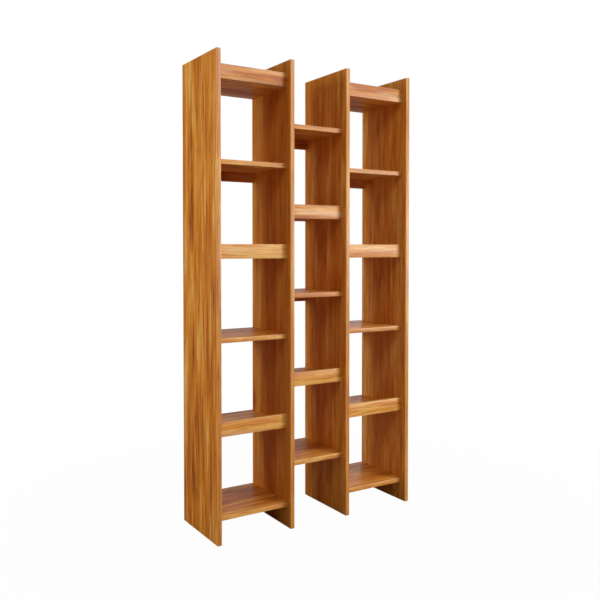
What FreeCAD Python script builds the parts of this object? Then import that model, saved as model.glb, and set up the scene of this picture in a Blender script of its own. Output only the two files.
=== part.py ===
import FreeCAD, Part
import os
import Sketcher

# Open wooden bookcase that is used from both sides: four uprights and three columns of
# fixed shelves, with the middle column set half a pitch higher than the outer two.
#
# Frame: origin on the floor under the middle of the bookcase, X along the width,
# Y from front to back, Z up. Millimetres.
#
# A shelf is a board with a rail along one long edge. The same shelf is fitted in two ways:
# hanging, with the rail at the rear and below the board, and turned over, with the rail
# at the front and standing above the board. The two ways alternate up each column and
# the lowest shelf hangs, so the clear height between shelves is the same on both faces.

DRIVING_SIZES = [
    # alias, value, meaning
    ("upright_height", 2000, "height of an upright, which is the height of the bookcase"),
    ("upright_thickness", 20, "thickness of an upright"),
    ("upright_depth", 340, "depth of an upright, which is the depth of the bookcase"),
    ("side_bay_width", 325, "clear width of the left and right columns"),
    ("middle_bay_width", 270, "clear width of the middle column"),
    ("lowest_shelf_clearance", 88, "floor to the underside of the lowest board"),
    ("top_overhang", 52, "top shelf's rail to the top of the uprights"),
    ("shelf_setback", 30, "uprights' front edge to the front of the shelves"),
    ("board_thickness", 20, "thickness of a shelf board"),
    ("rail_thickness", 20, "thickness of a rail"),
    ("rail_width", 60, "height of a rail, which takes in the board's edge"),
    ("tongue_thickness", 7, "tongue on the board's long edge"),
    ("tongue_length", 8, "how far the tongue stands out of the board"),
    ("joint_clearance", 0.1, "space on each side of a tongue and round a dowel"),
    ("glue_gap", 0.5, "space past the end of a tongue and of a dowel"),
    ("dowel_diameter", 8, "dowels between the shelves and the uprights"),
    ("dowel_seat_upright", 12, "length of dowel inside the upright"),
    ("dowel_seat_shelf", 23, "length of dowel inside the shelf"),
    ("dowel_chamfer", 1, "chamfer on the ends of a dowel"),
    ("dowel_inset", 45, "long edge of a board to its nearest dowel"),
    ("edge_radius", 2, "softened edges of uprights, boards and rails"),
]

SIDE_SHELVES = 6
MIDDLE_SHELVES = 5
SAME_PLACE_MM = 0.001  # two points this close are one point


class Size:
    """A number together with the sheet expression that gives it."""

    def __init__(self, value, text):
        self.value = value
        self.text = text

    def joined(self, sign, other, value):
        text = other.text if isinstance(other, Size) else str(other)
        return Size(value, "(%s %s %s)" % (self.text, sign, text))

    def __add__(self, other):
        return self.joined("+", other, self.value + number(other))

    def __sub__(self, other):
        return self.joined("-", other, self.value - number(other))

    def __mul__(self, other):
        return self.joined("*", other, self.value * number(other))

    def __truediv__(self, other):
        return self.joined("/", other, self.value / number(other))

    def __neg__(self):
        return Size(-self.value, "(0 - %s)" % self.text)

    def drive(self, feature, prop):
        """Bind a property of a document object to this size."""
        feature.setExpression(prop, self.text)


def number(size):
    return size.value if isinstance(size, Size) else float(size)


doc = FreeCAD.newDocument("Bookcase")
sheet = doc.addObject("Spreadsheet::Sheet", "Sizes")
sizes = {}
for row, (alias, value, meaning) in enumerate(DRIVING_SIZES, start=1):
    sheet.set("A%d" % row, meaning)
    sheet.set("B%d" % row, str(value))
    sheet.setAlias("B%d" % row, alias)
    sizes[alias] = Size(float(value), "Sizes." + alias)
doc.recompute()

upright_height = sizes["upright_height"]
upright_thickness = sizes["upright_thickness"]
upright_depth = sizes["upright_depth"]
side_bay_width = sizes["side_bay_width"]
middle_bay_width = sizes["middle_bay_width"]
lowest_shelf_clearance = sizes["lowest_shelf_clearance"]
top_overhang = sizes["top_overhang"]
shelf_setback = sizes["shelf_setback"]
board_thickness = sizes["board_thickness"]
rail_thickness = sizes["rail_thickness"]
rail_width = sizes["rail_width"]
tongue_thickness = sizes["tongue_thickness"]
tongue_length = sizes["tongue_length"]
joint_clearance = sizes["joint_clearance"]
glue_gap = sizes["glue_gap"]
dowel_diameter = sizes["dowel_diameter"]
dowel_seat_upright = sizes["dowel_seat_upright"]
dowel_seat_shelf = sizes["dowel_seat_shelf"]
dowel_chamfer = sizes["dowel_chamfer"]
dowel_inset = sizes["dowel_inset"]
edge_radius = sizes["edge_radius"]

zero = Size(0.0, "0")
shelf_depth = upright_depth - shelf_setback
board_width = shelf_depth - rail_thickness
dowel_hole_diameter = dowel_diameter + joint_clearance * 2
dowel_length = dowel_seat_upright + dowel_seat_shelf


# ------------------------------------------------------------------ sketches and features

def origin_plane(body, role):
    """A plane of the body's own origin, such as XY_Plane."""
    return next(part for part in body.Origin.OriginFeatures if part.Role == role)


def new_body(label):
    body = doc.addObject("PartDesign::Body", label)
    body.Label = label
    return body


def cross_sketch(body, name, distance=zero):
    """A sketch across the X axis at X = distance. It is drawn in Y and Z."""
    sketch = body.newObject("Sketcher::SketchObject", name)
    sketch.AttachmentSupport = [(origin_plane(body, "YZ_Plane"), "")]
    sketch.MapMode = "FlatFace"
    distance.drive(sketch, ".AttachmentOffset.Base.z")
    return sketch


def dimension(sketch, kind, elements, size):
    """Add one dimension to a sketch and bind it to a size."""
    index = sketch.addConstraint(Sketcher.Constraint(kind, *elements, size.value))
    size.drive(sketch, "Constraints[%d]" % index)


def draw_outline(sketch, corners):
    """Draw a closed outline of upright and level lines through the corners (y, z)."""
    points = [FreeCAD.Vector(y.value, z.value, 0) for y, z in corners]
    ends = points[1:] + points[:1]
    lines = [Part.LineSegment(start, end) for start, end in zip(points, ends)]
    sketch.addGeometry(lines, False)
    count = len(corners)
    for line in range(count):
        following = (line + 1) % count
        sketch.addConstraint(Sketcher.Constraint("Coincident", line, 2, following, 1))
        y, z = corners[line]
        if y is corners[following][0]:
            sketch.addConstraint(Sketcher.Constraint("Vertical", line))
            dimension(sketch, "DistanceX", (-1, 1, line, 1), y)
        else:
            sketch.addConstraint(Sketcher.Constraint("Horizontal", line))
            dimension(sketch, "DistanceY", (-1, 1, line, 1), z)


def draw_circles(sketch, centres, diameter):
    """Draw a circle of one diameter round each centre (y, z)."""
    for circle, (y, z) in enumerate(centres):
        centre = FreeCAD.Vector(y.value, z.value, 0)
        up = FreeCAD.Vector(0, 0, 1)
        sketch.addGeometry(Part.Circle(centre, up, diameter.value / 2), False)
        dimension(sketch, "DistanceX", (-1, 1, circle, 3), y)
        dimension(sketch, "DistanceY", (-1, 1, circle, 3), z)
        dimension(sketch, "Diameter", (circle,), diameter)


def pad(body, sketch, name, length, both_ways=False):
    feature = body.newObject("PartDesign::Pad", name)
    feature.Profile = sketch
    length.drive(feature, "Length")
    if both_ways:
        feature.SideType = "Symmetric"
    doc.recompute()
    return feature


def bore(body, sketch, name, depth, towards_plus_x):
    """Cut the sketch's circles to a depth, and check that they met the wood."""
    volume_before = body.Shape.Volume
    pocket = body.newObject("PartDesign::Pocket", name)
    pocket.Profile = sketch
    pocket.Reversed = towards_plus_x
    depth.drive(pocket, "Length")
    doc.recompute()
    if not body.Shape.Volume < volume_before:
        raise RuntimeError(body.Label + ": " + name + " cuts nothing")
    return pocket


def repeat_upwards(body, pocket, sketch, name, occurrences):
    """Repeat the holes of one shelf at every second shelf of the column."""
    pattern = body.newObject("PartDesign::LinearPattern", name)
    pattern.Originals = [pocket]
    pattern.Direction = (sketch, ["V_Axis"])
    pattern.Mode = "Spacing"
    pair_pitch.drive(pattern, "Offset")
    pattern.Occurrences = occurrences
    body.Tip = pattern
    doc.recompute()


def mirror_ends(body, feature, name):
    """Repeat a feature of one end at the other end."""
    mirrored = body.newObject("PartDesign::Mirrored", name)
    mirrored.Originals = [feature]
    mirrored.MirrorPlane = (origin_plane(body, "YZ_Plane"), [""])
    body.Tip = mirrored
    doc.recompute()
    return mirrored


def edge_names(feature, wanted):
    """Names of a feature's edges for which wanted(edge) is true."""
    edges = enumerate(feature.Shape.Edges, start=1)
    return ["Edge%d" % index for index, edge in edges if wanted(edge)]


def lies_along_x_at(y, z):
    """A test for an edge that runs along X through the point (y, z)."""
    def wanted(edge):
        box = edge.BoundBox
        middle = FreeCAD.Vector(box.Center.x, y.value, z.value)
        across = max(box.YLength, box.ZLength)
        if across > SAME_PLACE_MM:
            return False
        return box.Center.distanceToPoint(middle) < SAME_PLACE_MM
    return wanted


def soften(body, feature, name, edges):
    """Round edges over, as a light pass of a router does."""
    fillet = body.newObject("PartDesign::Fillet", name)
    fillet.Base = (feature, edges)
    edge_radius.drive(fillet, "Radius")
    doc.recompute()


# ------------------------------------------------------------------ layout

def is_hanging(index):
    return index % 2 == 0


def wood_below(index):
    """Height of the front edges below a shelf. Shelves count up from 0."""
    turned_below = index // 2
    hanging_below = index - turned_below
    return board_thickness * hanging_below + rail_width * turned_below


def shelf_level(lowest, index):
    """Height of the underside of a shelf's front edge."""
    return lowest + clear_opening * index + wood_below(index)


# The side columns fill the height: what the floor gap, the overhang and the shelves'
# front edges leave is shared evenly among the openings.
shelf_zone = upright_height - lowest_shelf_clearance - top_overhang
clear_opening = (shelf_zone - wood_below(SIDE_SHELVES)) / (SIDE_SHELVES - 1)
pair_pitch = clear_opening * 2 + board_thickness + rail_width
half_pitch = (clear_opening + board_thickness) / 2
side_levels = [shelf_level(lowest_shelf_clearance, i) for i in range(SIDE_SHELVES)]
middle_lowest = lowest_shelf_clearance + half_pitch
middle_levels = [shelf_level(middle_lowest, i) for i in range(MIDDLE_SHELVES)]

# The dowels of a shelf, in the shelf's own frame: Y from the board's free edge to the
# rail, Z from the rail's free edge to the flush faces of board and rail.
board_dowel_z = rail_width - board_thickness / 2
rail_dowel_y = shelf_depth - rail_thickness / 2
rail_dowel_z = (rail_width - board_thickness) / 2
board_dowels = [
    (dowel_inset, board_dowel_z),
    (board_width / 2, board_dowel_z),
    (board_width - dowel_inset, board_dowel_z),
]
rail_dowels = [(rail_dowel_y, rail_dowel_z)]
shelf_dowels = board_dowels + rail_dowels


def dowel_points_on_upright(level, hanging):
    """Where a shelf's dowels meet an upright, from the upright's front foot."""
    points = []
    for y, z in shelf_dowels:
        if hanging:
            points.append((shelf_setback + y, level + board_thickness - rail_width + z))
        else:
            points.append((upright_depth - y, level + rail_width - z))
    return points


# ------------------------------------------------------------------ uprights

def make_upright(label, left_edge_x, left_column=None, right_column=None):
    """An upright with the blind dowel holes of the columns on its two sides."""
    body = new_body(label)
    outline = cross_sketch(body, label + "_outline")
    draw_outline(outline, [
        (zero, zero),
        (upright_depth, zero),
        (upright_depth, upright_height),
        (zero, upright_height),
    ])
    panel = pad(body, outline, label + "_panel", upright_thickness)
    soften(body, panel, label + "_edges", edge_names(panel, lambda edge: True))
    if left_column:
        bore_column(body, "left", left_column, zero)
    if right_column:
        bore_column(body, "right", right_column, upright_thickness)
    left_edge_x.drive(body, ".Placement.Base.x")
    (-upright_depth / 2).drive(body, ".Placement.Base.y")
    return body


def bore_column(body, side, levels, face_x):
    """Bore the holes for a column of shelves into one face of an upright."""
    depth = dowel_seat_upright + glue_gap
    for first in (0, 1):
        way = "hanging" if is_hanging(first) else "turned"
        name = "%s_%s_%s" % (body.Label, side, way)
        sketch = cross_sketch(body, name + "_points", face_x)
        points = dowel_points_on_upright(levels[first], is_hanging(first))
        draw_circles(sketch, points, dowel_hole_diameter)
        pocket = bore(body, sketch, name + "_holes", depth, side == "left")
        occurrences = len(levels[first::2])
        repeat_upwards(body, pocket, sketch, name + "_column", occurrences)


# ------------------------------------------------------------------ shelves

def seat_shelf(body, column_x, level, hanging):
    """Put a piece of a shelf in its column, hanging or turned over."""
    if hanging:
        base_y = shelf_setback - upright_depth / 2
        base_z = level + board_thickness - rail_width
    else:
        half_turn = FreeCAD.Rotation(FreeCAD.Vector(1, 0, 0), 180)
        body.Placement = FreeCAD.Placement(FreeCAD.Vector(0, 0, 0), half_turn)
        base_y = upright_depth / 2
        base_z = level + rail_width
    column_x.drive(body, ".Placement.Base.x")
    base_y.drive(body, ".Placement.Base.y")
    base_z.drive(body, ".Placement.Base.z")


def bore_ends(body, bay_width, centres):
    """Bore the dowel holes into both ends of a board or rail."""
    label = body.Label
    sketch = cross_sketch(body, label + "_hole_points", bay_width / 2)
    draw_circles(sketch, centres, dowel_hole_diameter)
    depth = dowel_seat_shelf + glue_gap
    pocket = bore(body, sketch, label + "_holes", depth, False)
    mirror_ends(body, pocket, label + "_holes_other_end")


def make_board(label, bay_width):
    """A shelf board with a tongue along the edge that meets the rail."""
    body = new_body(label)
    underside = rail_width - board_thickness
    tongue_edge = board_width + tongue_length
    tongue_low = board_dowel_z - tongue_thickness / 2
    tongue_high = board_dowel_z + tongue_thickness / 2
    section = cross_sketch(body, label + "_section")
    draw_outline(section, [
        (zero, underside),
        (board_width, underside),
        (board_width, tongue_low),
        (tongue_edge, tongue_low),
        (tongue_edge, tongue_high),
        (board_width, tongue_high),
        (board_width, rail_width),
        (zero, rail_width),
    ])
    plank = pad(body, section, label + "_plank", bay_width, both_ways=True)
    free_edges = edge_names(plank, lies_along_x_at(zero, underside))
    free_edges += edge_names(plank, lies_along_x_at(zero, rail_width))
    soften(body, plank, label + "_edges", free_edges)
    bore_ends(body, bay_width, board_dowels)
    return body


def make_rail(label, bay_width):
    """A rail with a groove for the board's tongue."""
    body = new_body(label)
    inner_face = board_width
    groove_floor = inner_face + tongue_length + glue_gap
    half_groove = tongue_thickness / 2 + joint_clearance
    groove_low = board_dowel_z - half_groove
    groove_high = board_dowel_z + half_groove
    section = cross_sketch(body, label + "_section")
    draw_outline(section, [
        (inner_face, zero),
        (shelf_depth, zero),
        (shelf_depth, rail_width),
        (inner_face, rail_width),
        (inner_face, groove_high),
        (groove_floor, groove_high),
        (groove_floor, groove_low),
        (inner_face, groove_low),
    ])
    plank = pad(body, section, label + "_plank", bay_width, both_ways=True)
    free_edges = edge_names(plank, lies_along_x_at(inner_face, zero))
    free_edges += edge_names(plank, lies_along_x_at(shelf_depth, zero))
    free_edges += edge_names(plank, lies_along_x_at(shelf_depth, rail_width))
    soften(body, plank, label + "_edges", free_edges)
    bore_ends(body, bay_width, rail_dowels)
    return body


def make_dowels(label, bay_width):
    """The dowels of both ends of a shelf, each a separate peg with chamfered ends."""
    body = new_body(label)
    body.AllowCompound = True
    points = cross_sketch(body, label + "_points", bay_width / 2 - dowel_seat_shelf)
    draw_circles(points, shelf_dowels, dowel_diameter)
    pegs = pad(body, points, label + "_pegs", dowel_length)
    both_ends = mirror_ends(body, pegs, label + "_pegs_other_end")
    rims = edge_names(both_ends, lambda edge: isinstance(edge.Curve, Part.Circle))
    chamfer = body.newObject("PartDesign::Chamfer", label + "_chamfers")
    chamfer.Base = (both_ends, rims)
    dowel_chamfer.drive(chamfer, "Size")
    body.Tip = chamfer
    doc.recompute()
    return body


def make_shelf(column, index, bay_width, column_x, level):
    """A board, its rail and its dowels, named from the bottom of the column up."""
    name = "%s_shelf_%d" % (column, index + 1)
    pieces = [
        make_board(name + "_board", bay_width),
        make_rail(name + "_rail", bay_width),
        make_dowels(name + "_dowels", bay_width),
    ]
    for piece in pieces:
        seat_shelf(piece, column_x, level, is_hanging(index))
    return pieces


# ------------------------------------------------------------------ the bookcase

column_spacing = middle_bay_width / 2 + upright_thickness + side_bay_width / 2
inner_upright_x = middle_bay_width / 2
end_upright_x = inner_upright_x + upright_thickness + side_bay_width

sub_parts = [
    make_upright(
        "left_end_upright", -(end_upright_x + upright_thickness),
        right_column=side_levels),
    make_upright(
        "left_inner_upright", -(inner_upright_x + upright_thickness),
        left_column=side_levels, right_column=middle_levels),
    make_upright(
        "right_inner_upright", inner_upright_x,
        left_column=middle_levels, right_column=side_levels),
    make_upright(
        "right_end_upright", end_upright_x,
        left_column=side_levels),
]
for index, level in enumerate(side_levels):
    sub_parts += make_shelf("left", index, side_bay_width, -column_spacing, level)
for index, level in enumerate(middle_levels):
    sub_parts += make_shelf("middle", index, middle_bay_width, zero, level)
for index, level in enumerate(side_levels):
    sub_parts += make_shelf("right", index, side_bay_width, column_spacing, level)
doc.recompute()

for feature in doc.Objects:
    if "Invalid" in feature.State or "Error" in feature.State:
        raise RuntimeError(feature.Name + " failed: " + str(feature.State))
both_ends_dowels = 2 * len(shelf_dowels)
for body in sub_parts:
    expected = both_ends_dowels if body.Label.endswith("dowels") else 1
    if body.Shape.isNull() or not body.Shape.isValid():
        raise RuntimeError(body.Label + " has no valid shape")
    if len(body.Shape.Solids) != expected:
        raise RuntimeError("%s has %d solids" % (body.Label, len(body.Shape.Solids)))

os.makedirs("parts", exist_ok=True)
for body in sub_parts:
    body.Shape.exportStep("parts/" + body.Label + ".step")
print("wrote %d sub-parts" % len(sub_parts))
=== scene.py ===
"""Open bookcase of solid hardwood, used from both sides, dressed as finished furniture.

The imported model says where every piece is. Each upright, shelf board and rail is modelled
here the way a joiner makes it: sawn to size, its arrises eased, tongued or grooved, bored
for its dowels, glued up from staves and lacquered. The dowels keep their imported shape.

Metres, X along the width, Y from front to back, Z up, origin on the floor.
"""
import logging
import math
import random
from collections.abc import Callable, Iterator
from contextlib import contextmanager
from dataclasses import dataclass, field, replace
from enum import Enum
from itertools import accumulate, cycle
from typing import Any

import bmesh
import bpy
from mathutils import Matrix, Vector


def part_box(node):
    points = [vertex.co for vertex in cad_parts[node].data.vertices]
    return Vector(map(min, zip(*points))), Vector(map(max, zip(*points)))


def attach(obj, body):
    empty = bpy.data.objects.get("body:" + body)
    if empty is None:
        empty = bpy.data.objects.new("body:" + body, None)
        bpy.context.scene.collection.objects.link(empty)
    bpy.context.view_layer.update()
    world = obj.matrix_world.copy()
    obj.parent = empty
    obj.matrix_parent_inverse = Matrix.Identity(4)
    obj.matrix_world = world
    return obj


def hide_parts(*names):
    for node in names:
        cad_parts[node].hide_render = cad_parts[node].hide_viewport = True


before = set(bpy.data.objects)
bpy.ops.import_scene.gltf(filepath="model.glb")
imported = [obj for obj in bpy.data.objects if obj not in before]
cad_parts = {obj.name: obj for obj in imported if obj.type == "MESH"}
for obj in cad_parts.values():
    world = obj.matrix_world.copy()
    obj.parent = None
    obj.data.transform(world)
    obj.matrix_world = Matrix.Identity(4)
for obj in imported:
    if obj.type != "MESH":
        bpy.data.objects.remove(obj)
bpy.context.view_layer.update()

log = logging.getLogger("bookcase")

MM = 0.001
BODY = "root"  # the one body, which all pieces ride on
SEED = 11  # of all that falls by chance
OPAQUE = 1.0
WHITE = (1.0, 1.0, 1.0, OPAQUE)

Colour = tuple[float, float, float]
Place = tuple[float, float, float]


class Axis(Enum):
    """A direction of the frame, as an index into a vector."""

    X = 0
    Y = 1
    Z = 2


class Way(Enum):
    """The ways to fit a shelf, in the order in which a column repeats them from below.

    A hanging shelf has its rail under the board at the rear. The same shelf turned over
    has it on top of the board at the front.
    """

    HANGING = "hanging"
    TURNED = "turned"


class Mark(Enum):
    """What glue_up writes on the faces of a panel, by attribute name.

    HEART: the place of the log's heart across and through the panel, and the stave's seed.
    STAVE: the glue lines at the stave's low and high side, and the stave's tone.
    PANEL: the panel's low and high edge, and 1 on a rounded arris.
    FIGURE: the strength of the stave's figure.
    """

    HEART = "heart"
    STAVE = "stave"
    PANEL = "panel"
    FIGURE = "figure"


# ------------------------------------------------------------------ shader arithmetic


class MixSocket(Enum):
    """Sockets of the Mix node that belong to colours, by index."""

    SHARE = 0
    FIRST = 6
    SECOND = 7
    RESULT = 2


class Signal:
    """The output of a shader node as a value that takes part in Python arithmetic."""

    def __init__(self, graph: "Graph", socket: bpy.types.NodeSocket) -> None:
        """Wrap an output socket of a graph."""
        self.graph = graph
        self.socket = socket

    def __add__(self, other: "Signal | float") -> "Signal":
        """Sum."""
        return self.graph.maths("ADD", self, other)

    def __radd__(self, other: float) -> "Signal":
        """Sum with a plain number on the left."""
        return self.graph.maths("ADD", other, self)

    def __sub__(self, other: "Signal | float") -> "Signal":
        """Difference."""
        return self.graph.maths("SUBTRACT", self, other)

    def __rsub__(self, other: float) -> "Signal":
        """Difference with a plain number on the left."""
        return self.graph.maths("SUBTRACT", other, self)

    def __mul__(self, other: "Signal | float") -> "Signal":
        """Product."""
        return self.graph.maths("MULTIPLY", self, other)

    def __rmul__(self, other: float) -> "Signal":
        """Product with a plain number on the left."""
        return self.graph.maths("MULTIPLY", other, self)

    def __truediv__(self, other: "Signal | float") -> "Signal":
        """Quotient."""
        return self.graph.maths("DIVIDE", self, other)

    def __rtruediv__(self, other: float) -> "Signal":
        """Quotient with a plain number above."""
        return self.graph.maths("DIVIDE", other, self)


class Graph:
    """A node tree that is filled by Python expressions."""

    def __init__(self, tree: bpy.types.NodeTree) -> None:
        """Start an empty graph in the tree of a material or a world."""
        tree.nodes.clear()
        self.tree = tree

    def add(
        self,
        kind: str,
        settings: dict[str, Any] | None = None,
        sockets: dict[str | int, Any] | None = None,
    ) -> bpy.types.Node:
        """Add a node.

        Args:
            kind: Type of the node without its ShaderNode prefix.
            settings: Properties, set first. The key stops holds a ramp's stops.
            sockets: Values or links of the input sockets, by name or index.

        Returns:
            The new node.
        """
        node = self.tree.nodes.new("ShaderNode" + kind)
        for name, value in (settings or {}).items():
            if name == "stops":
                self.set_stops(node.color_ramp, value)
            else:
                setattr(node, name, value)
        for name, value in (sockets or {}).items():
            if isinstance(value, Signal):
                self.tree.links.new(value.socket, node.inputs[name])
            elif isinstance(value, bpy.types.Node):
                self.tree.links.new(value.outputs[0], node.inputs[name])
            else:
                node.inputs[name].default_value = value
        return node

    @staticmethod
    def set_stops(ramp: bpy.types.ColorRamp, stops: dict[float, Colour]) -> None:
        """Give a colour ramp its stops.

        Args:
            ramp: The ramp, which starts with two stops.
            stops: Linear colour of each stop by its position, in order.
        """
        for _ in range(len(stops) - len(ramp.elements)):
            ramp.elements.new(1.0)
        for element, (position, colour) in zip(ramp.elements, stops.items()):
            element.position = position
            element.color = (*colour, OPAQUE)

    def signal(
        self,
        kind: str,
        output: str | int,
        settings: dict[str, Any] | None = None,
        sockets: dict[str | int, Any] | None = None,
    ) -> Signal:
        """Add a node as add does, and take one of its outputs by name or index."""
        return Signal(self, self.add(kind, settings, sockets).outputs[output])

    def maths(self, operation: str, *values: Signal | float) -> Signal:
        """Add a Math node, with its inputs in order."""
        sockets = dict(enumerate(values))
        return self.signal("Math", "Value", {"operation": operation}, sockets)

    def clamped(self, value: Signal) -> Signal:
        """Limit a value to the range 0 to 1."""
        return self.signal("Clamp", "Result", None, {"Value": value})

    def step(self, value: Signal, start: float, end: float) -> Signal:
        """A smooth step in a value.

        Args:
            value: The value.
            start: Where the step is 0.
            end: Where the step is 1. It may be lower than start.

        Returns:
            The step, from 0 to 1.
        """
        limits = {"Value": value, "From Min": start, "From Max": end}
        smooth = {"interpolation_type": "SMOOTHSTEP"}
        return self.signal("MapRange", "Result", smooth, limits)

    def vector(self, x: Signal | float, y: Signal | float, z: Signal | float) -> Signal:
        """Combine three values into a vector."""
        return self.signal("CombineXYZ", "Vector", None, {"X": x, "Y": y, "Z": z})

    def split(self, vector: Signal) -> list[Signal]:
        """Split a vector into its three values."""
        parts = self.add("SeparateXYZ", None, {"Vector": vector})
        return [Signal(self, output) for output in parts.outputs]

    def mark(self, mark: Mark) -> list[Signal]:
        """The three values of a mark on the faces."""
        return self.split(self.signal("Attribute", "Vector", {"attribute_name": mark.value}))

    def mixed(self, share: Signal, first: Signal | Colour, second: Colour) -> Signal:
        """Mix a fixed colour into another.

        Args:
            share: Share of the second colour.
            first: The colour that is there.
            second: The fixed colour that is mixed in.

        Returns:
            The mixed colour.
        """
        sockets = {
            MixSocket.SHARE.value: share,
            MixSocket.FIRST.value: first if isinstance(first, Signal) else (*first, OPAQUE),
            MixSocket.SECOND.value: (*second, OPAQUE),
        }
        return self.signal("Mix", MixSocket.RESULT.value, {"data_type": "RGBA"}, sockets)


def blank_material(name: str) -> tuple[bpy.types.Material, Graph]:
    """Start a material.

    Args:
        name: The material's name.

    Returns:
        The material and its empty graph.
    """
    material = bpy.data.materials.new(name)
    material.use_nodes = True
    return material, Graph(material.node_tree)


# ------------------------------------------------------------------ studio


@dataclass(frozen=True)
class SoftBox:
    """A large soft lamp that is turned to the middle of the bookcase."""

    name: str
    place: Place
    aim: float  # height of the point that it is turned to, over the frame's origin
    width: float
    height: float
    watts: float

    def build(self) -> None:
        """Add the lamp, which the camera doesn't see."""
        target = Vector((0.0, 0.0, self.aim))
        turn = (target - Vector(self.place)).to_track_quat("-Z", "Y")
        bpy.ops.object.light_add(type="AREA", location=self.place, rotation=turn.to_euler())
        lamp = bpy.context.object
        lamp.name = self.name
        lamp.data.shape = "RECTANGLE"
        lamp.data.size = self.width
        lamp.data.size_y = self.height
        lamp.data.energy = self.watts
        lamp.visible_camera = False


@dataclass(frozen=True)
class Floor:
    """A pale floor that keeps the shadow and fades to white round the bookcase."""

    size: float = 30.0
    drop: float = 0.2 * MM  # below the uprights' ends
    shade: float = 0.45
    shade_in_gloss: float = 0.03  # as the lacquer mirrors it
    glow_near: float = 0.98  # share of plain white, up to where the fade starts
    fade_start: float = 0.9
    fade_end: float = 2.2

    def build(self) -> None:
        """Add the floor, just clear of the uprights."""
        place = (0.0, 0.0, -self.drop)
        bpy.ops.mesh.primitive_plane_add(size=self.size, location=place)
        floor = bpy.context.object
        floor.name = "floor"
        floor.data.materials.append(self.material())

    def material(self) -> bpy.types.Material:
        """Make the floor's material.

        Returns:
            A matt material that glows white where the camera looks straight at it.
        """
        material, graph = blank_material("pale_floor")
        place = graph.signal("TexCoord", "Object")
        length = {"operation": "LENGTH"}
        distance = graph.signal("VectorMath", "Value", length, {"Vector": place})
        far = graph.step(distance, self.fade_start, self.fade_end)
        glow = self.glow_near + far * (1.0 - self.glow_near)
        glossy = graph.signal("LightPath", "Is Glossy Ray")
        shade = self.shade + glossy * (self.shade_in_gloss - self.shade)
        grey = graph.vector(shade, shade, shade)
        matt = graph.add("BsdfDiffuse", None, {"Color": grey})
        bright = graph.add("Emission", None, {"Color": WHITE})
        share = seen_straight(graph) * glow
        surface = graph.add("MixShader", None, dict(enumerate((share, matt, bright))))
        graph.add("OutputMaterial", None, {"Surface": surface})
        return material


@dataclass(frozen=True)
class Studio:
    """A plain white room with a camera and soft lamps."""

    eye: Place = (-1.7695, -2.8055, 1.2058)
    turn_degrees: float = -32.229
    tilt_degrees: float = 88.537
    focal_length_mm: float = 43.72
    sensor_width_mm: float = 36.0
    frame_shift: float = -0.0564
    room_light: float = 0.17
    room_in_gloss: float = 0.0  # as the lacquer mirrors it
    floor: Floor = Floor()
    lamps: tuple[SoftBox, ...] = (
        SoftBox("key_softbox", (4.70, -8.30, 7.0), aim=1.0, width=3.6, height=2.8, watts=345.0),
        SoftBox("sheen_softbox", (4.35, -4.83, 1.6), aim=0.8, width=2.4, height=1.8, watts=178.0),
        SoftBox("front_softbox", (-2.00, -3.10, 4.7), aim=1.9, width=2.0, height=2.0, watts=54.0),
        SoftBox("side_softbox", (-4.92, 0.87, 1.8), aim=1.0, width=2.4, height=2.4, watts=120.0),
        SoftBox("back_softbox", (1.60, 3.60, 2.6), aim=0.9, width=2.4, height=3.2, watts=13.0),
        SoftBox("rear_softbox", (5.20, 4.60, 2.4), aim=1.0, width=2.4, height=2.4, watts=30.0),
    )

    def build(self) -> None:
        """Make everything round the bookcase."""
        bpy.context.scene.view_settings.view_transform = "Standard"
        self.build_camera()
        self.build_room()
        self.floor.build()
        for lamp in self.lamps:
            lamp.build()
        log.info("studio: camera, floor, room and %d lamps", len(self.lamps))

    def build_camera(self) -> None:
        """Add the camera, at chest height and to the left of the bookcase."""
        turn = (math.radians(self.tilt_degrees), 0.0, math.radians(self.turn_degrees))
        bpy.ops.object.camera_add(location=self.eye, rotation=turn)
        camera = bpy.context.object
        camera.name = "camera"
        camera.data.sensor_width = self.sensor_width_mm
        camera.data.lens = self.focal_length_mm
        camera.data.shift_y = self.frame_shift
        bpy.context.scene.camera = camera

    def build_room(self) -> None:
        """Light the bookcase evenly from all sides and show the room white."""
        world = bpy.data.worlds.new("white_room")
        world.use_nodes = True
        bpy.context.scene.world = world
        graph = Graph(world.node_tree)
        glossy = graph.signal("LightPath", "Is Glossy Ray")
        strength = (
            self.room_light
            + seen_straight(graph) * (1.0 - self.room_light)
            + glossy * (self.room_in_gloss - self.room_light)
        )
        white = graph.add("Background", None, {"Color": WHITE, "Strength": strength})
        graph.add("OutputWorld", None, {"Surface": white})


def seen_straight(graph: Graph) -> Signal:
    """Whether a ray comes from the camera, directly or through glass.

    Args:
        graph: The graph that asks.

    Returns:
        1 for such a ray, otherwise 0.
    """
    camera = graph.signal("LightPath", "Is Camera Ray")
    through_glass = graph.signal("LightPath", "Is Transmission Ray")
    return graph.maths("MAXIMUM", camera, through_glass)


# ------------------------------------------------------------------ finishes


NOISE_MIDDLE = 0.5  # noise runs from 0 to 1, about this


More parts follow.
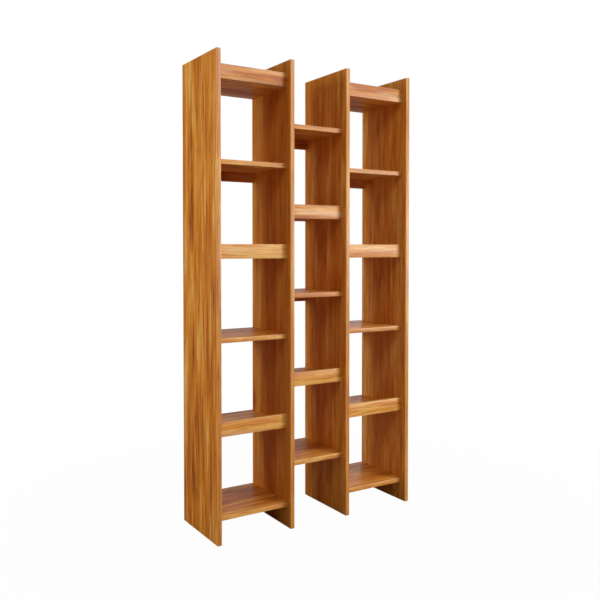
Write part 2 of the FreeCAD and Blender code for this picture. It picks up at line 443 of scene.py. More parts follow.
@dataclass(frozen=True)
class Layer:
    """One layer of a wood's figure: noise that is stretched along the grain."""

    along: float  # waves per metre along the grain
    across: float  # waves per metre across the grain
    strength: float  # swing from the lowest to the highest value
    detail: float = 2.0  # how many finer waves are laid over the coarse ones
    roughness: float = 0.5  # strength of each finer wave against the one before
    seed_step: float = 0.0  # how far apart two staves are in the noise

    def signal(self, graph: Graph, along: Signal, across: Signal, third: Signal) -> Signal:
        """The layer's value at a point, which swings about 0.

        Args:
            graph: The graph to draw it in.
            along: Place along the grain, in metres.
            across: Place across the grain, in metres.
            third: What else the noise depends on, already scaled.

        Returns:
            The noise times the layer's strength.
        """
        place = graph.vector(along * self.along, across * self.across, third)
        noise = graph.signal("TexNoise", "Fac", None, {
            "Vector": place,
            "Scale": 1.0,
            "Detail": self.detail,
            "Roughness": self.roughness,
        })
        return (noise - NOISE_MIDDLE) * self.strength

    def on_face(self, spot: "Spot", across: Signal | None = None) -> Signal:
        """The layer by place on the face, where another measure may stand for across."""
        sideways = spot.across if across is None else across
        return self.signal(spot.graph, spot.along, sideways, spot.seed * self.seed_step)

    def in_solid(self, spot: "Spot") -> Signal:
        """The layer by place in the wood, through its whole thickness."""
        third = spot.depth * self.across + spot.seed * self.seed_step
        return self.signal(spot.graph, spot.along, spot.across, third)


@dataclass(frozen=True)
class Spot:
    """Where a point lies in its panel and in its stave, as signals of one graph."""

    graph: Graph
    along: Signal  # place in the panel
    across: Signal
    depth: Signal
    heart_across: Signal  # place of the log's heart
    heart_depth: Signal
    seed: Signal  # the stave's own number, from 0 to 1
    low_joint: Signal  # place across of the glue lines beside the stave
    high_joint: Signal
    tone: Signal  # the stave is lighter above 0
    low_edge: Signal  # place across of the panel's edges
    high_edge: Signal
    arris: Signal  # 1 on a rounded arris, otherwise 0
    figure: Signal  # strength of the stave's figure

    @staticmethod
    def of(graph: Graph, axes: tuple[Axis, Axis, Axis]) -> "Spot":
        """Read the place in the object and the marks that glue_up left on the faces.

        Args:
            graph: The graph to draw in.
            axes: Directions along, across and through the wood.

        Returns:
            The point.
        """
        place = graph.split(graph.signal("TexCoord", "Object"))
        figure = graph.signal("Attribute", "Fac", {"attribute_name": Mark.FIGURE.value})
        return Spot(
            graph,
            *(place[axis.value] for axis in axes),
            *graph.mark(Mark.HEART),
            *graph.mark(Mark.STAVE),
            *graph.mark(Mark.PANEL),
            figure,
        )

    def from_heart(self) -> Signal:
        """Measure from the heart of the log.

        Returns:
            The distance across the grain, in metres.
        """
        aside = self.across - self.heart_across
        below = self.depth - self.heart_depth
        return self.graph.maths("SQRT", aside * aside + below * below)

    def to_joint(self) -> Signal:
        """Distance from the nearer glue line."""
        return self.to_nearer(self.low_joint, self.high_joint)

    def to_edge(self) -> Signal:
        """Distance from the nearer long edge of the panel."""
        return self.to_nearer(self.low_edge, self.high_edge)

    def to_nearer(self, low: Signal, high: Signal) -> Signal:
        """Distance across the grain to the nearer of the lines on either side."""
        return self.graph.maths("MINIMUM", self.across - low, high - self.across)


@dataclass(frozen=True)
class Knots:
    """Small scattered knots, which the growth rings bend round."""

    along: float = 1.9  # cells per metre, at most one knot in a cell
    across: float = 8.0
    seed_step: float = 19.0
    reach: float = 0.34  # in cells
    without: float = 0.66  # share of cells without a knot
    fade: float = 0.06  # share of cells with a faint one
    swell: float = 30 * MM  # how far the rings bend
    darkness: float = 0.45

    def signal(self, spot: Spot) -> Signal:
        """Where the knots are.

        Args:
            spot: The point.

        Returns:
            1 in the middle of a knot, falling to 0 round it.
        """
        graph = spot.graph
        place = graph.vector(
            spot.along * self.along, spot.across * self.across, spot.seed * self.seed_step
        )
        cells = graph.add("TexVoronoi", None, {"Vector": place, "Scale": 1.0})
        distance = Signal(graph, cells.outputs["Distance"])
        chance = graph.split(Signal(graph, cells.outputs["Color"]))[0]
        present = graph.step(chance, self.without, self.without + self.fade)
        return graph.step(distance, self.reach, 0.0) * present


@dataclass(frozen=True)
class Rings:
    """Growth rings: pale early wood that darkens to a sharp line of late wood."""

    spacing: float = 4.4 * MM
    late_from: float = 0.35  # share of a ring at which the late wood begins
    late_peak: float = 0.94  # share of a ring at which it is darkest
    darkness: float = 0.10
    wander: Layer = Layer(2.0, 3.0, 76 * MM, detail=1.0, seed_step=91.0)  # slow bends
    ripple: Layer = Layer(7.0, 16.0, 8 * MM, seed_step=57.0)
    uneven: Layer = Layer(0.0, 90.0, 1.6, detail=1.0, seed_step=33.0)  # good and bad years

    def radius(self, spot: Spot) -> Signal:
        """Distance from the heart as the rings count it, with their bends."""
        return spot.from_heart() + self.wander.on_face(spot) + self.ripple.on_face(spot)

    def late_wood(self, spot: Spot, radius: Signal) -> Signal:
        """How much of a point is late wood.

        Args:
            spot: The point.
            radius: Its distance from the heart.

        Returns:
            0 in early wood, 1 at the end of a year's growth.
        """
        graph = spot.graph
        shift = self.uneven.on_face(spot, radius)
        ring = graph.maths("FRACT", radius / self.spacing + shift)
        rise = graph.step(ring, self.late_from, self.late_peak)
        return rise * graph.step(ring, 1.0, self.late_peak)


@dataclass(frozen=True)
class Stain:
    """A colour that is mixed into the wood in places."""

    colour: Colour
    share: float
    start: float = 0.0  # where it begins, in the measure that it follows
    full: float = 1.0  # where it is whole

    def over(self, graph: Graph, colour: Signal, measure: Signal) -> Signal:
        """Mix the stain into the colour so far, as a measure says where."""
        amount = graph.step(measure, self.start, self.full) * self.share
        return graph.mixed(amount, colour, self.colour)


@dataclass(frozen=True)
class Lacquer:
    """Satin lacquer, which sinks a little into pores and joints."""

    gloss: float = 0.56
    roughness: float = 0.38
    pore_roughness: float = 0.18  # what pores and fibres add to the roughness
    fibre_roughness: float = 0.40
    relief: float = 0.35
    relief_height: float = 0.4 * MM
    fibre_height: float = 1.4  # heights and depths are shares of the relief's height
    pore_depth: float = 0.5
    late_wood_depth: float = 0.12
    joint_depth: float = 0.4

    def over(
        self,
        graph: Graph,
        colour: Signal,
        fibre: Signal,
        pores: Signal,
        late: Signal,
        joint: Signal,
    ) -> bpy.types.Node:
        """Lacquer the wood.

        Args:
            graph: The graph to draw in.
            colour: Colour of the wood.
            fibre: Fine grain, which swings about 0.
            pores: 1 in the pores.
            late: 1 in late wood.
            joint: 1 on the glue lines.

        Returns:
            The surface.
        """
        height = (
            fibre * self.fibre_height
            - pores * self.pore_depth
            - late * self.late_wood_depth
            - joint * self.joint_depth
        )
        bump = graph.add("Bump", None, {
            "Strength": self.relief, "Distance": self.relief_height, "Height": height
        })
        roughness = self.roughness + pores * self.pore_roughness + fibre * self.fibre_roughness
        return graph.add("BsdfPrincipled", None, {
            "Base Color": colour,
            "Roughness": roughness,
            "Specular IOR Level": self.gloss,
            "Normal": bump,
        })


@dataclass(frozen=True)
class Wood:
    """Golden brown hardwood under satin lacquer, cut with its grain along one direction.

    The figure follows the growth rings: each stave carries the place of its log's heart,
    the distance from there, bent by slow noise, says which ring a point is in. All
    the layers of the figure together say how light the wood is, from 0 to 1, and the
    palette gives the colour for that. Stains are mixed in afterwards, and so are a
    painted sheen in broad pale patches and a painted highlight on and beside the arrises.
    """

    name: str
    along: Axis
    across: Axis
    through: Axis
    lightness: float = 0.64
    palette: tuple[tuple[float, Colour], ...] = (
        (0.00, (0.270, 0.058, 0.002)),
        (0.25, (0.490, 0.127, 0.006)),
        (0.50, (0.640, 0.206, 0.013)),
        (0.75, (0.755, 0.296, 0.032)),
        (1.00, (0.855, 0.455, 0.105)),
    )
    rings: Rings = Rings()
    knots: Knots = Knots()
    band: Layer = Layer(0.6, 32.0, 1.35, roughness=0.55, seed_step=71.0)  # along the rings
    patch: Layer = Layer(1.8, 11.0, 0.85, seed_step=43.0)  # broad and soft
    fleck: Layer = Layer(3.2, 48.0, 1.60, detail=3.0, roughness=0.6, seed_step=29.0)
    streak: Layer = Layer(5.0, 125.0, 1.25, detail=3.0, roughness=0.6)  # narrower
    dash: Layer = Layer(12.0, 220.0, 1.0, seed_step=13.0)  # short, dark and sharp
    dash_start: float = 0.06  # value of its layer at which a dash begins
    dash_full: float = 0.20
    dash_darkness: float = 0.34
    fibre: Layer = Layer(14.0, 900.0, 0.30)  # finest grain
    pore: Layer = Layer(90.0, 1500.0, 1.0, detail=1.0)
    pore_colour: Stain = Stain((0.110, 0.026, 0.003), share=0.50, start=0.12, full=0.24)
    warmth: Layer = Layer(1.6, 22.0, 1.0, seed_step=7.0)
    rust: Stain = Stain((0.610, 0.150, 0.008), share=0.50, start=0.02, full=0.22)
    # broad pale patches of painted sheen
    sheen_patches: Layer = Layer(3.0, 22.0, 1.0, seed_step=151.0)
    painted_sheen: Stain = Stain((0.840, 0.600, 0.340), share=0.06, start=0.0, full=0.22)
    glue: Stain = Stain((0.100, 0.026, 0.004), share=0.45, start=0.3 * MM, full=0.1 * MM)
    # a pale painted highlight on the rounded arrises and in a strip beside them, where light
    # catches
    arris_highlight: Stain = Stain((0.880, 0.640, 0.300), share=0.34, start=0.15, full=1.0)
    arris_highlight_width: float = 6 * MM  # of the strip beside an arris
    arris_highlight_beside: float = 0.4  # painted highlight there, against that on the arris
    arris_highlight_unevenness: float = 3.0
    lacquer: Lacquer = Lacquer()

    def material(self) -> bpy.types.Material:
        """Make the material.

        Returns:
            A material that reads object coordinates and the marks on the faces.
        """
        material, graph = blank_material(self.name)
        spot = Spot.of(graph, (self.along, self.across, self.through))
        knot = self.knots.signal(spot)
        radius = self.rings.radius(spot) + knot * self.knots.swell
        late = self.rings.late_wood(spot, radius)
        fibre = self.fibre.in_solid(spot)
        pore = self.pore.in_solid(spot)

        level = self.level(spot, radius) + fibre
        level = level - late * self.rings.darkness - knot * knot * self.knots.darkness
        palette = {"stops": dict(self.palette)}
        colour = graph.signal("ValToRGB", "Color", palette, {"Fac": graph.clamped(level)})
        colour = self.rust.over(graph, colour, self.warmth.on_face(spot) * spot.figure)
        # paint sheen in broad pale patches
        colour = self.painted_sheen.over(graph, colour, self.sheen_patches.on_face(spot))
        colour = self.pore_colour.over(graph, colour, pore)
        colour = self.glue.over(graph, colour, spot.to_joint())
        # paint the highlight on and beside the arrises
        colour = self.arris_highlight.over(graph, colour, self.arris_highlight_share(spot, fibre))

        pores = graph.step(pore, self.pore_colour.start, self.pore_colour.full)
        joint = graph.step(spot.to_joint(), self.glue.start, self.glue.full)
        surface = self.lacquer.over(graph, colour, fibre, pores, late, joint)
        graph.add("OutputMaterial", None, {"Surface": surface})
        return material

    def level(self, spot: Spot, radius: Signal) -> Signal:
        """How light the wood is by its stave and its broad figure.

        Args:
            spot: The point.
            radius: Its distance from the heart.

        Returns:
            The lightness, which the palette takes from 0 to 1.
        """
        broad = (
            self.band.on_face(spot, radius)
            + self.patch.on_face(spot)
            + self.fleck.in_solid(spot)
            + self.streak.in_solid(spot)
        )
        dash = spot.graph.step(self.dash.in_solid(spot), self.dash_start, self.dash_full)
        figure = (broad - dash * self.dash_darkness) * spot.figure
        return spot.tone + self.lightness + figure

    def arris_highlight_share(self, spot: Spot, fibre: Signal) -> Signal:
        """How strong the painted highlight is on and beside the arrises.

        Args:
            spot: The point.
            fibre: Fine grain, which makes the painted highlight uneven.

        Returns:
            The painted highlight's strength, from 0 to about 1.
        """
        beside = spot.graph.step(spot.to_edge(), self.arris_highlight_width, 0.0) * self.arris_highlight_beside
        near_edge = spot.graph.maths("MAXIMUM", spot.arris, beside)
        return near_edge * (1.0 + fibre * self.arris_highlight_unevenness)


@dataclass(frozen=True)
class Beech:
    """Bare turned beech, pale and close grained, with its grain along X."""

    name: str = "dowel_wood"
    colour: Colour = (0.62, 0.44, 0.26)
    dark_colour: Colour = (0.46, 0.30, 0.16)
    dark_share: float = 0.5
    grain: Layer = Layer(12.0, 900.0, 1.6)
    roughness: float = 0.62
    roughness_swing: float = 0.1
    relief: float = 0.2
    relief_height: float = 0.2 * MM

    def material(self) -> bpy.types.Material:
        """Make the material.

        Returns:
            A material that reads object coordinates.
        """
        material, graph = blank_material(self.name)
        along, across, depth = graph.split(graph.signal("TexCoord", "Object"))
        grain = self.grain.signal(graph, along, across, depth * self.grain.across)
        dark = graph.clamped(grain + self.dark_share)
        colour = graph.mixed(dark, self.colour, self.dark_colour)
        bump = graph.add("Bump", None, {
            "Strength": self.relief, "Distance": self.relief_height, "Height": grain
        })
        surface = graph.add("BsdfPrincipled", None, {
            "Base Color": colour,
            "Roughness": self.roughness + grain * self.roughness_swing,
            "Normal": bump,
        })
        graph.add("OutputMaterial", None, {"Surface": surface})
        return material


UPRIGHT_WOOD = Wood("upright_wood", Axis.Z, Axis.Y, Axis.X)
BOARD_WOOD = Wood(
    "shelf_board_wood", Axis.X, Axis.Y, Axis.Z, rust=replace(Wood.rust, share=0.38)
)
RAIL_WOOD = Wood(
    "shelf_rail_wood",
    Axis.X,
    Axis.Z,
    Axis.Y,
    lightness=0.69,
    rust=replace(Wood.rust, share=0.30),
    # much more painted sheen on the rails
    painted_sheen=replace(Wood.painted_sheen, share=0.40),
)
DOWEL_WOOD = Beech()


# ------------------------------------------------------------------ joiner's work


SAME_PLACE = 0.01 * MM  # coordinates this close are one
FLAT = 0.999  # a face is flat if its normal is this near to an axis
SMOOTHING_DEGREES = 30.0  # faces that meet at less are shaded as one
HALF_TURN = math.pi
QUARTER_TURN = math.pi / 2


def take(thing: bpy.types.Object) -> None:
    """Select one object alone and make it the active one.

    Args:
        thing: The object.
    """
    bpy.ops.object.select_all(action="DESELECT")
    thing.select_set(True)
    bpy.context.view_layer.objects.active = thing


@contextmanager
def on_the_bench(thing: bpy.types.Object) -> Iterator[bmesh.types.BMesh]:
    """Work on one object alone in edit mode.

    Args:
        thing: The object.

    Yields:
        Its mesh in edit mode.
    """
    take(thing)
    bpy.ops.object.mode_set(mode="EDIT")
    bpy.ops.mesh.select_all(action="DESELECT")
    yield bmesh.from_edit_mesh(thing.data)
    bpy.ops.object.mode_set(mode="OBJECT")


def same(first: float, second: float) -> bool:
    """Whether two coordinates are one place."""
    return abs(first - second) < SAME_PLACE


@dataclass(frozen=True)
class Joinery:
    """The arrises and the joints, which are the same throughout."""

    arris: float = 2.0 * MM  # radius
    arris_faces: int = 3
    tongue: float = 7.0 * MM  # thickness
    tongue_play: float = 0.1 * MM  # at each side of the tongue
    glue_gap: float = 0.5 * MM  # behind the tongue
    dowel_hole: float = 8.2 * MM  # diameter
    dowel_inset: float = 45.0 * MM  # of a board's outer dowels, from its edges
    depth_in_shelf: float = 23.5 * MM
    depth_in_upright: float = 12.5 * MM
    hole_sides: int = 16


JOINERY = Joinery()


@dataclass(frozen=True)
class Stave:
    """One strip of a glued-up panel."""

    width: float
    tone: float  # lighter above 0
    heart_aside: float  # place of the log's heart, from the middle of the stave's face
    heart_below: float  # its depth, from the middle of the stave's thickness
    figure: float = 1.0  # strength of the figure


@dataclass(frozen=True)
class Timber:
    """The stack that staves are picked from, and how much they differ there."""

    tone: float = 0.11  # farthest from 0 to either side
    heart_aside: float = 60 * MM  # farthest to either side
    heart_near: float = 18 * MM  # nearest above or below
    heart_far: float = 85 * MM
    narrowest: float = 0.75  # against the usual width
    widest: float = 1.25

    def stave(self, width: float, chance: random.Random, figure: float = 1.0) -> Stave:
        """Pick a stave that was cut anywhere in its log.

        Args:
            width: Width of the stave.
            chance: Source of chance.
            figure: Strength of the figure.

        Returns:
            The stave.
        """
        return Stave(
            width,
            tone=chance.uniform(-self.tone, self.tone) * figure,
            heart_aside=chance.uniform(-self.heart_aside, self.heart_aside),
            heart_below=chance.choice((-1, 1)) * chance.uniform(self.heart_near, self.heart_far),
            figure=figure,
        )

    def panel(
        self, width: float, usual: float, chance: random.Random, figure: float = 1.0
    ) -> list[Stave]:
        """Pick the staves for a panel.

        Args:
            width: Width of the panel.
            usual: Usual width of a stave.
            chance: Source of chance.
            figure: Strength of the figure.

        Returns:
            The staves in order across the panel, which they fill.
        """
        count = max(1, round(width / usual))
        shares = [chance.uniform(self.narrowest, self.widest) for _ in range(count)]
        part = width / sum(shares)
        return [self.stave(part * share, chance, figure) for share in shares]


TIMBER = Timber()

# Tones that are chosen for a panel's first stave, which is at the front of a board. On the rails
# of the fifth shelves, which hang at the rear under their boards, the very dark tones are painted
# shade.
STAVE_TONES_AND_PAINTED_SHADE = {
    "left_shelf_2_rail": 0.13,
    "left_shelf_3_board": -0.10,
    "left_shelf_4_rail": 0.18,
    # painted shade under the board above
    "left_shelf_5_rail": -0.34,
    "left_shelf_6_rail": -0.22,
    "middle_shelf_2_rail": 0.16,
    "middle_shelf_3_board": 0.08,
    "middle_shelf_4_rail": -0.13,
    "middle_shelf_5_board": -0.02,
    # painted shade under the board above
    "middle_shelf_5_rail": -0.25,
    "right_shelf_1_board": 0.30,
    "right_shelf_2_rail": 0.25,
    "right_shelf_3_board": 0.22,
    "right_shelf_4_rail": 0.18,
    # painted shade under the board above
    "right_shelf_5_rail": -0.34,
    "right_shelf_6_rail": -0.05,
}


@dataclass
class Workpiece:
    """A piece of wood that stands for one node of the frame."""

    node: str
    thing: bpy.types.Object

    @staticmethod
    def sawn(node: str, low: Vector, high: Vector) -> "Workpiece":
        """Saw a rectangular blank.

        Args:
            node: The node that the piece stands for.
            low: Lowest corner.
            high: Highest corner.

        Returns:
            The blank, with its place in its mesh.
        """
        bpy.ops.object.select_all(action="DESELECT")
        bpy.ops.mesh.primitive_cube_add(size=1.0, location=(low + high) / 2, scale=high - low)
        thing = bpy.context.object
        thing.name = thing.data.name = node + "_wood"
        bpy.ops.object.transform_apply(location=True, rotation=True, scale=True)
        return Workpiece(node, thing)

    def copied(self, node: str, turned: bool = False) -> "Workpiece":
        """Make the same piece again for another node.

        Args:
            node: The node that the copy stands for.
            turned: Whether the copy is turned over.

        Returns:
            The copy, in the node's place and with a mesh of its own.
        """
        take(self.thing)
        bpy.ops.object.duplicate(linked=False)
        copy = bpy.context.object
        copy.name = copy.data.name = node + "_wood"
        if turned:
            copy.rotation_euler.x = HALF_TURN
            bpy.ops.object.transform_apply(location=True, rotation=True, scale=True)
        corners = [Vector(corner) for corner in copy.bound_box]
        lowest = Vector(map(min, *corners))
        copy.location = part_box(node)[0] - lowest
        bpy.ops.object.transform_apply(location=True, rotation=True, scale=True)
        return Workpiece(node, copy)

    def ease(self, wanted: Callable[[Vector, Vector], bool] | None = None) -> None:
        """Round edges over.

        Args:
            wanted: Test on the two ends of an edge. Without it, all edges are rounded.
        """
        with on_the_bench(self.thing) as mesh:
            bpy.ops.mesh.select_mode(type="EDGE")
            for edge in mesh.edges:
                start, end = (vertex.co for vertex in edge.verts)
                edge.select_set(wanted is None or wanted(start, end))
            bpy.ops.mesh.bevel(
                offset=JOINERY.arris, segments=JOINERY.arris_faces, affect="EDGES"
            )

    def push_strip(self, face: float, middle: float, thickness: float, travel: float) -> None:
        """Push the middle strip of a long face backwards, out as a tongue or in as a groove.

        Args:
            face: Y of the face.
            middle: Z of the strip's middle.
            thickness: Thickness of the strip.
            travel: How far it goes.
        """
        with on_the_bench(self.thing) as mesh:
            bpy.ops.mesh.select_mode(type="FACE")
            for height in (middle - thickness / 2, middle + thickness / 2):
                for side in mesh.faces:
                    side.select_set(same(side.calc_center_median().y, face))
                bpy.ops.mesh.bisect(plane_co=(0.0, face, height), plane_no=(0.0, 0.0, 1.0))
                mesh = bmesh.from_edit_mesh(self.thing.data)
            for side in mesh.faces:
                centre = side.calc_center_median()
                side.select_set(same(centre.y, face) and same(centre.z, middle))
            bpy.ops.mesh.extrude_region_move(
                TRANSFORM_OT_translate={"value": (0.0, travel, 0.0)}
            )

    def bore(self, mouths: list[Vector], depth: float) -> None:
        """Bore blind holes along X.

        Args:
            mouths: Middle of each hole's mouth, on a face across X.
            depth: Depth of the holes.
        """
        bpy.ops.object.select_all(action="DESELECT")
        bits = []
        for mouth in mouths:
            bpy.ops.mesh.primitive_cylinder_add(
                vertices=JOINERY.hole_sides,
                radius=JOINERY.dowel_hole / 2,
                depth=depth * 2,  # half of the bit stays outside
                location=mouth,
                rotation=(0.0, QUARTER_TURN, 0.0),
            )
            bits.append(bpy.context.object)
        for bit in bits:
            bit.select_set(True)
        bpy.ops.object.join()
        drill = bpy.context.object
        cut = self.thing.modifiers.new("holes", "BOOLEAN")
        cut.operation = "DIFFERENCE"
        cut.object = drill
        bpy.context.view_layer.objects.active = self.thing
        bpy.ops.object.modifier_apply(modifier=cut.name)
        bpy.data.objects.remove(drill)

    def glue_up(self, wood: Wood, staves: list[Stave], chance: random.Random) -> None:
        """Part the panel along its glue lines and mark each stave on its faces.

        Args:
            wood: The wood, which says how the grain runs.
            staves: The staves, from the low side of the panel.
            chance: Source of the staves' own numbers.
        """
        first = staves[0]
        # the first stave's tone from the table, which for the fifth shelves' rails is painted
        # shade
        staves = [replace(first, tone=STAVE_TONES_AND_PAINTED_SHADE.get(self.node, first.tone)), *staves[1:]]
        seeds = [chance.random() for _ in staves]
        across, deep = wood.across.value, wood.through.value
        low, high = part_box(self.node)
        limits = list(accumulate((stave.width for stave in staves), initial=low[across]))
        joints = limits[1:-1]
        self.part_at(joints, wood.across)
        out_of_reach = 1.0
        ends = [low[across] - out_of_reach, *joints, high[across] + out_of_reach]
        middle = (low[deep] + high[deep]) / 2
        mesh = self.thing.data
        for mark in Mark:
            kind = "FLOAT" if mark is Mark.FIGURE else "FLOAT_VECTOR"
            mesh.attributes.new(mark.value, kind, "FACE")
        hearts, strips, panels, figures = (mesh.attributes[mark.value].data for mark in Mark)
        for face in mesh.polygons:
            index = sum(face.center[across] > joint for joint in joints)
            stave = staves[index]
            centre = (limits[index] + limits[index + 1]) / 2
            heart = (centre + stave.heart_aside, middle - stave.heart_below)
            arris = float(max(map(abs, face.normal)) <= FLAT)
            hearts[face.index].vector = (*heart, seeds[index])
            strips[face.index].vector = (ends[index], ends[index + 1], stave.tone)
            panels[face.index].vector = (limits[0], limits[-1], arris)
            figures[face.index].value = stave.figure

    def part_at(self, joints: list[float], across: Axis) -> None:
        """Part the faces along glue lines, and leave them joined.

        Args:
            joints: Place of each glue line.
            across: The direction across the staves.
        """
        normal = Vector((0.0, 0.0, 0.0))
        normal[across.value] = 1.0
        with on_the_bench(self.thing):
            for joint in joints:
                bpy.ops.mesh.select_all(action="SELECT")
                bpy.ops.mesh.bisect(plane_co=normal * joint, plane_no=normal)

    def lacquer(self, wood: Wood, material: bpy.types.Material) -> None:
        """Finish the piece and fit it in place of its node.

        Args:
            wood: The piece's finish; not used.
            material: The finish as a material.
        """
        self.thing.data.materials.clear()
        self.thing.data.materials.append(material)
        take(self.thing)
        bpy.ops.object.shade_smooth_by_angle(angle=math.radians(SMOOTHING_DEGREES))
        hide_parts(self.node)
        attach(self.thing, BODY)
        log.info("%s: %d faces", self.node, len(self.thing.data.polygons))


# ------------------------------------------------------------------ the bookcase


Materials = dict[str, bpy.types.Material]


@dataclass
class Shelf:
    """A board with a rail along one long edge, on eight dowels between two uprights."""

    name: str
    way: Way
    usual_stave: float = 58 * MM
    pieces: dict[str, Workpiece] = field(default_factory=dict)

    def node(self, part: str) -> str:
        """The name of a part's node."""
        return f"{self.name}_{part}"

    def dowel_points(self) -> list[Vector]:
        """Find where the dowels at the shelf's left end are.

        Returns:
            Their middles on the face of the end: three in the board, then one in the rail.
        """
        board_low, board_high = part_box(self.node("board"))
        rail_low, rail_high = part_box(self.node("rail"))
        board_height = (board_low.z + board_high.z) / 2
        if self.way is Way.HANGING:
            front, rear = board_low.y, rail_low.y
            rail_height = (rail_low.z + board_low.z) / 2
        else:
            front, rear = rail_high.y, board_high.y
            rail_height = (board_high.z + rail_high.z) / 2
        inset = JOINERY.dowel_inset
        rows = [(y, board_height) for y in (front + inset, (front + rear) / 2, rear - inset)]
        rows.append(((rail_low.y + rail_high.y) / 2, rail_height))
        return [Vector((board_low.x, y, z)) for y, z in rows]

    def bay_width(self) -> Vector:
        """The step from the shelf's left end to its right end."""
        low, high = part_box(self.node("board"))
        return Vector((high.x - low.x, 0.0, 0.0))

    def model(self) -> None:
        """Model the board and the rail of a hanging shelf where they are."""
        board_low, board_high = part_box(self.node("board"))
        rail_low, rail_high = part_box(self.node("rail"))
        shoulder = rail_low.y
        middle = (board_low.z + board_high.z) / 2
        tongue_length = board_high.y - shoulder
        left_ends = self.dowel_points()
        right_ends = [point + self.bay_width() for point in left_ends]

        def runs_along(start: Vector, end: Vector) -> bool:
            """Whether an edge runs along X."""
            return same(start.y, end.y) and same(start.z, end.z)

        def board_front(start: Vector, end: Vector) -> bool:
            """Whether an edge is one of the two at the board's front."""
            return runs_along(start, end) and same(start.y, board_low.y)

        def free_rail_edge(start: Vector, end: Vector) -> bool:
            """Whether an edge of the rail is clear of the board."""
            flush = same(start.y, rail_low.y) and same(start.z, rail_high.z)
            return runs_along(start, end) and not flush

        blank_high = Vector((board_high.x, shoulder, board_high.z))
        board = Workpiece.sawn(self.node("board"), board_low, blank_high)
        board.ease(board_front)
        board.push_strip(shoulder, middle, JOINERY.tongue, tongue_length)
        board.bore(left_ends[:-1] + right_ends[:-1], JOINERY.depth_in_shelf)

        rail = Workpiece.sawn(self.node("rail"), rail_low, rail_high)
        rail.ease(free_rail_edge)
        groove = JOINERY.tongue + JOINERY.tongue_play * 2
        rail.push_strip(shoulder, middle, groove, tongue_length + JOINERY.glue_gap)
        rail.bore([left_ends[-1], right_ends[-1]], JOINERY.depth_in_shelf)
        self.pieces = {"board": board, "rail": rail}

    def copy_from(self, pattern: "Shelf") -> None:
        """Make the shelf as a copy of another, turned over if need be.

        Args:
            pattern: A shelf of the same width that is there already.
        """
        turned = self.way is not pattern.way
        for part, piece in pattern.pieces.items():
            self.pieces[part] = piece.copied(self.node(part), turned)

    def dress(self, materials: Materials, chance: random.Random) -> None:
        """Give the board, the rail and the dowels their woods.

        Args:
            materials: The finishes.
            chance: Source of chance for the staves.
        """
        low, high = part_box(self.node("board"))
        staves = TIMBER.panel(high.y - low.y, self.usual_stave, chance)
        self.pieces["board"].glue_up(BOARD_WOOD, staves, chance)
        low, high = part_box(self.node("rail"))
        staves = [TIMBER.stave(high.z - low.z, chance)]
        self.pieces["rail"].glue_up(RAIL_WOOD, staves, chance)
        self.pieces["board"].lacquer(BOARD_WOOD, materials[BOARD_WOOD.name])
        self.pieces["rail"].lacquer(RAIL_WOOD, materials[RAIL_WOOD.name])
        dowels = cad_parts[self.node("dowels")]
        dowels.data.materials.clear()
        dowels.data.materials.append(materials[DOWEL_WOOD.name])
        log.info("%s: %s", self.node("dowels"), DOWEL_WOOD.name)


@dataclass
class Column:
    """A column of shelves, hanging and turned over in turn from the bottom up."""

    name: str
    shelves: list[Shelf] = field(default_factory=list)

    def __post_init__(self) -> None:
        """List the shelves that the frame has in this column."""
        start = f"{self.name}_shelf_"
        count = sum(node.startswith(start) and node.endswith("_board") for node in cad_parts)
        for number, way in zip(range(1, count + 1), cycle(Way)):
            self.shelves.append(Shelf(f"{start}{number}", way))

    def build(self, like: "Column | None" = None) -> None:
        """Make the shelves.

        Args:
            like: A column of the same width that is there already.
        """
        pattern = like.shelves[0] if like else self.shelves[0]
        if not like:
            pattern.model()
        for shelf in self.shelves:
            if shelf is not pattern:
                shelf.copy_from(pattern)
        log.info("%s column: %d shelves", self.name, len(self.shelves))

    def dowel_points(self, at_right: bool) -> list[Vector]:
        """Middles of all the dowels at one side of the column.

        Args:
            at_right: Whether the side is the right one.

        Returns:
            The points on the face of the upright there.
        """
        points = []
        for shelf in self.shelves:
            step = shelf.bay_width() if at_right else Vector()
            points += [point + step for point in shelf.dowel_points()]
        return points


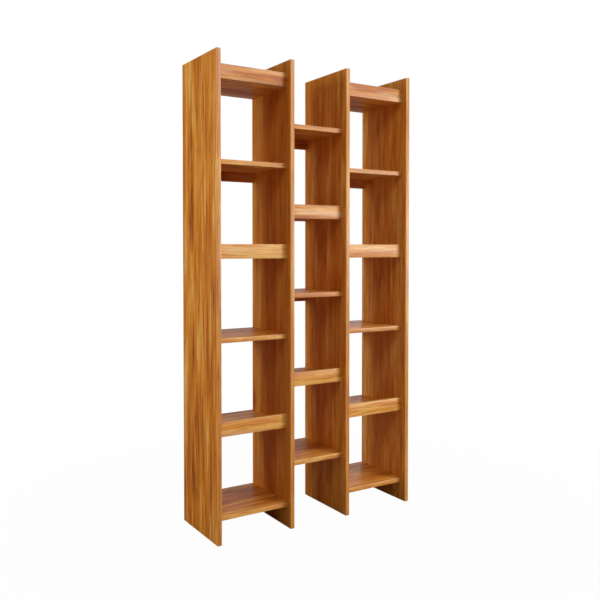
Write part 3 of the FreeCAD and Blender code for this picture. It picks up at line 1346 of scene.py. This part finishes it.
@dataclass
class Upright:
    """A full height panel between two columns, or at one end."""

    node: str
    at_left: Column | None = None
    at_right: Column | None = None
    staves: tuple[Stave, ...] = ()  # chosen ones; without them, they fall as they come
    usual_stave: float = 60 * MM
    figure: float = 0.75  # calmer wood than that of the shelves
    tone: float = 0.0
    piece: Workpiece = field(init=False)

    def build(self, like: "Upright | None" = None) -> None:
        """Make the panel, with all its edges eased.

        Args:
            like: An upright that is there already and isn't bored yet.
        """
        if like:
            self.piece = like.piece.copied(self.node)
            return
        self.piece = Workpiece.sawn(self.node, *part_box(self.node))
        self.piece.ease()

    def bore(self) -> None:
        """Bore the holes for the columns on its two sides."""
        mouths = []
        if self.at_left:
            mouths += self.at_left.dowel_points(at_right=True)
        if self.at_right:
            mouths += self.at_right.dowel_points(at_right=False)
        self.piece.bore(mouths, JOINERY.depth_in_upright)

    def dress(self, materials: Materials, chance: random.Random) -> None:
        """Glue the panel up from staves and lacquer it.

        Args:
            materials: The finishes.
            chance: Source of chance for the staves.
        """
        low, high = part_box(self.node)
        staves = list(self.staves)
        if not staves:
            picked = TIMBER.panel(high.y - low.y, self.usual_stave, chance, self.figure)
            staves = [replace(stave, tone=stave.tone + self.tone) for stave in picked]
        self.piece.glue_up(UPRIGHT_WOOD, staves, chance)
        self.piece.lacquer(UPRIGHT_WOOD, materials[UPRIGHT_WOOD.name])


# From the front: width, tone, and place of the heart aside and below.
LEFT_END_STAVES = (
    Stave(40 * MM, -0.01, 30 * MM, 55 * MM),
    Stave(62 * MM, -0.16, -55 * MM, 30 * MM),
    Stave(50 * MM, 0.02, 48 * MM, 40 * MM),
    Stave(70 * MM, -0.08, 4 * MM, 26 * MM),
    Stave(64 * MM, 0.05, -6 * MM, 60 * MM),
    Stave(54 * MM, 0.00, 70 * MM, 25 * MM),
)
LEFT_INNER_FIGURE = 0.55
RIGHT_END_TONE = 0.14


def main() -> None:
    """Build the studio, the shelves and the uprights, and dress them."""
    chance = random.Random(SEED)
    Studio().build()
    finishes = (UPRIGHT_WOOD, BOARD_WOOD, RAIL_WOOD, DOWEL_WOOD)
    materials = {finish.name: finish.material() for finish in finishes}

    left, middle, right = Column("left"), Column("middle"), Column("right")
    left.build()
    middle.build()
    right.build(like=left)
    for column in (left, middle, right):
        for shelf in column.shelves:
            shelf.dress(materials, chance)

    left_end = Upright("left_end_upright", at_right=left, staves=LEFT_END_STAVES)
    uprights = (
        left_end,
        Upright("left_inner_upright", left, middle, figure=LEFT_INNER_FIGURE),
        Upright("right_inner_upright", middle, right),
        Upright("right_end_upright", right, tone=RIGHT_END_TONE),
    )
    for upright in uprights:
        upright.build(like=None if upright is left_end else left_end)
    for upright in uprights:
        upright.bore()
        upright.dress(materials, chance)


if __name__ == "__main__":
    logging.basicConfig(level=logging.INFO, format="%(name)s: %(message)s")
    main()
